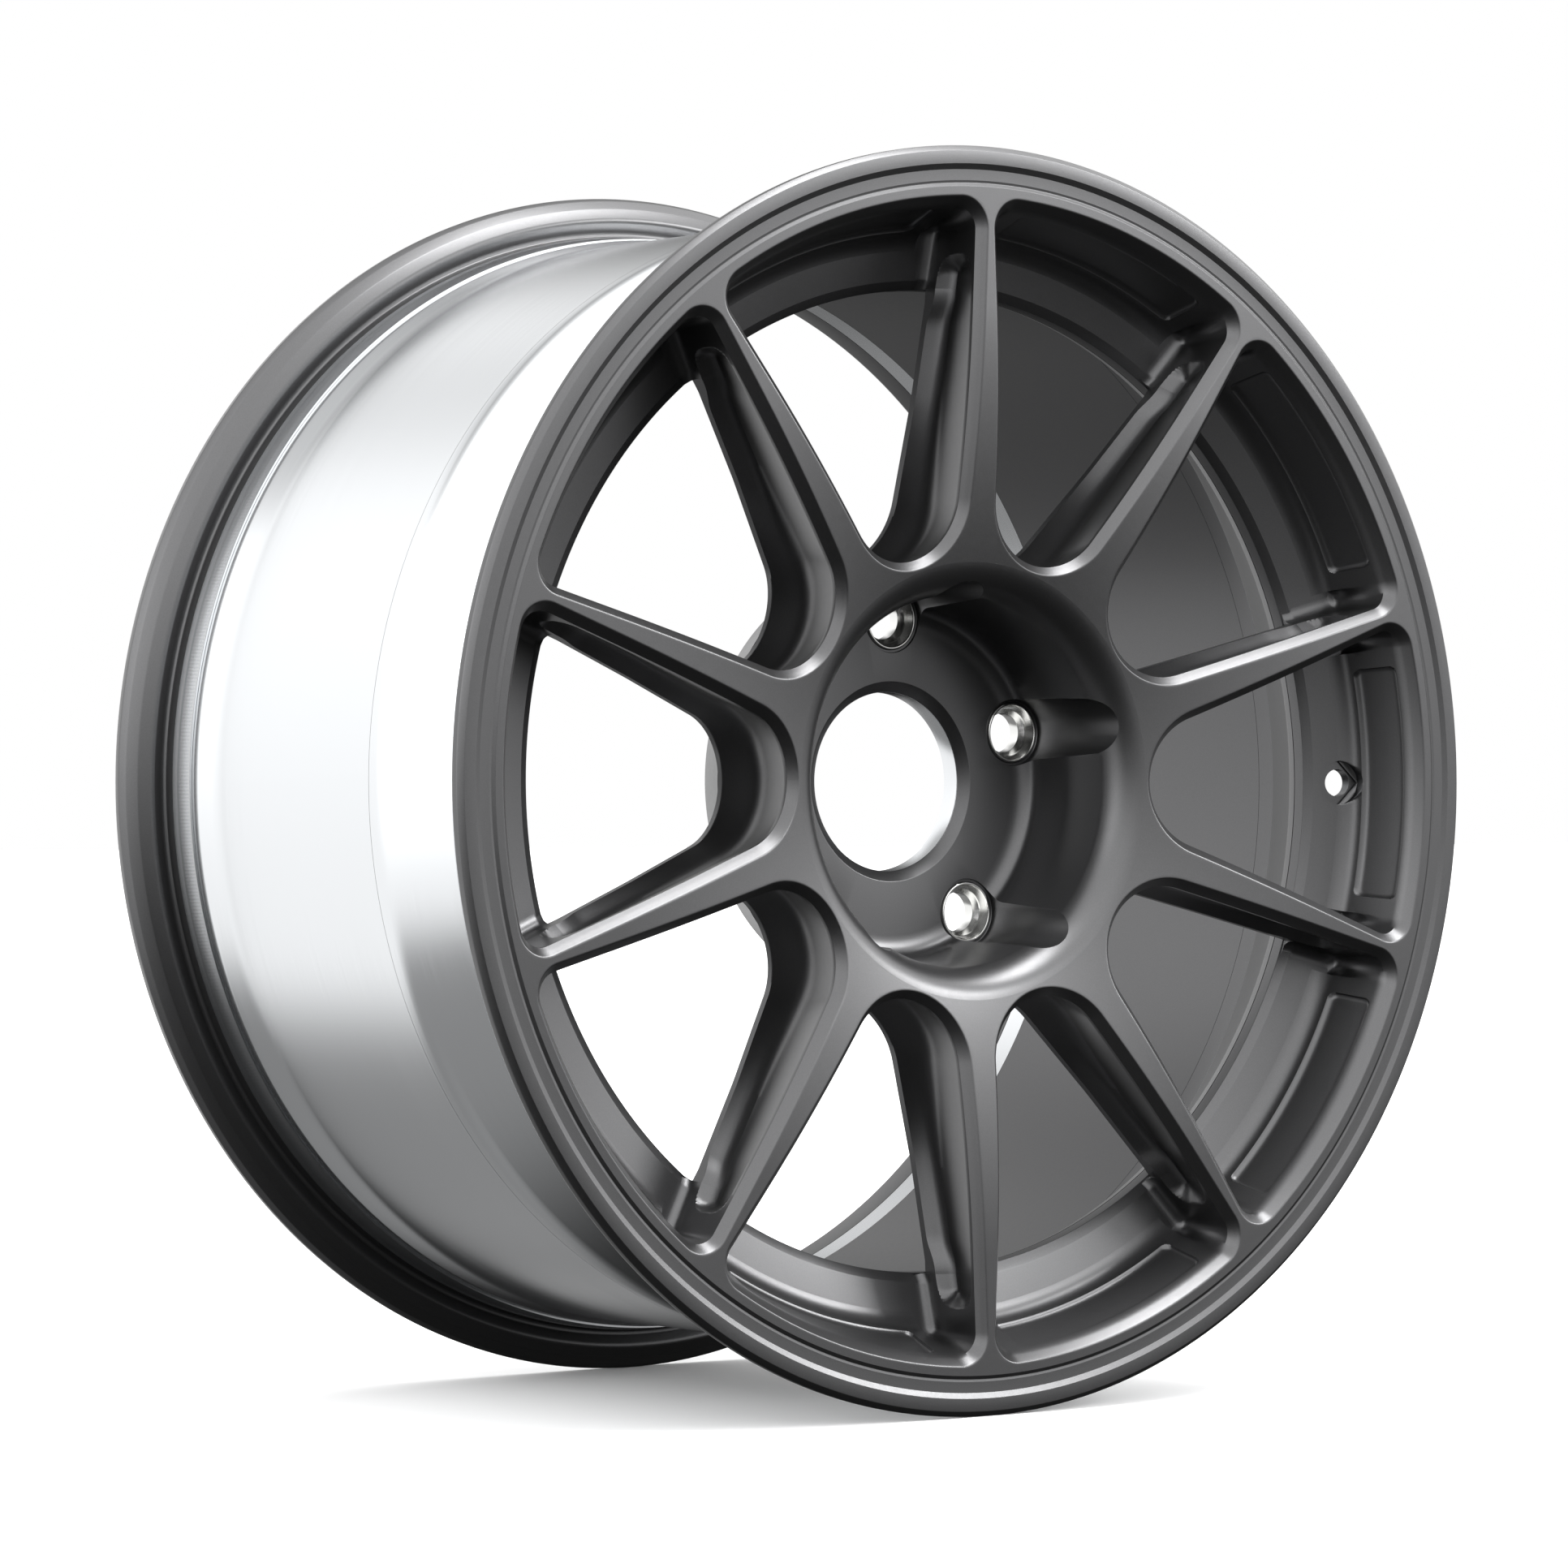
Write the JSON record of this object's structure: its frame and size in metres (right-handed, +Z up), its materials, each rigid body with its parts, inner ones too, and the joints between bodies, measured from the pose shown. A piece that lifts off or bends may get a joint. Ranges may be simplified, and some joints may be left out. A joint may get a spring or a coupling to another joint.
{
  "type": "wheel rim",
  "caption": "Forged racing wheel with slim tapered spokes, a deep centre bowl with conical nut seats, a stepped lip and a bare aluminium barrel.",
  "frame": {"origin": "on the wheel's axis, in the middle plane of the rim", "axes": "+Y along the wheel's axis, from the spoke face (-Y) to the side that bolts to the car (+Y); +Z up with the wheel standing on its rim; one lug hole and one spoke point to +Z, the valve hole to +X"},
  "size_m": [0.4966, 0.2538, 0.4966],
  "materials": {
    "paint": "satin anthracite",
    "bare_rim": "fine turned",
    "lug_seat": "bright machined cone"
  },
  "bodies": {
    "root": {"inner_flange": "paint", "inner_bead_seat": "bare_rim", "barrel": "bare_rim", "well": "bare_rim", "valve_wall": "paint", "outer_ring": "paint", "spoke_01": "paint", "spoke_02": "paint", "spoke_03": "paint", "spoke_04": "paint", "spoke_05": "paint", "spoke_06": "paint", "spoke_07": "paint", "spoke_08": "paint", "spoke_09": "paint", "spoke_10": "paint", "hub": "paint", "lug_seat_1": "lug_seat", "lug_seat_2": "lug_seat", "lug_seat_3": "lug_seat", "lug_seat_4": "lug_seat", "lug_seat_5": "lug_seat"}
  },
  "joints": []
}
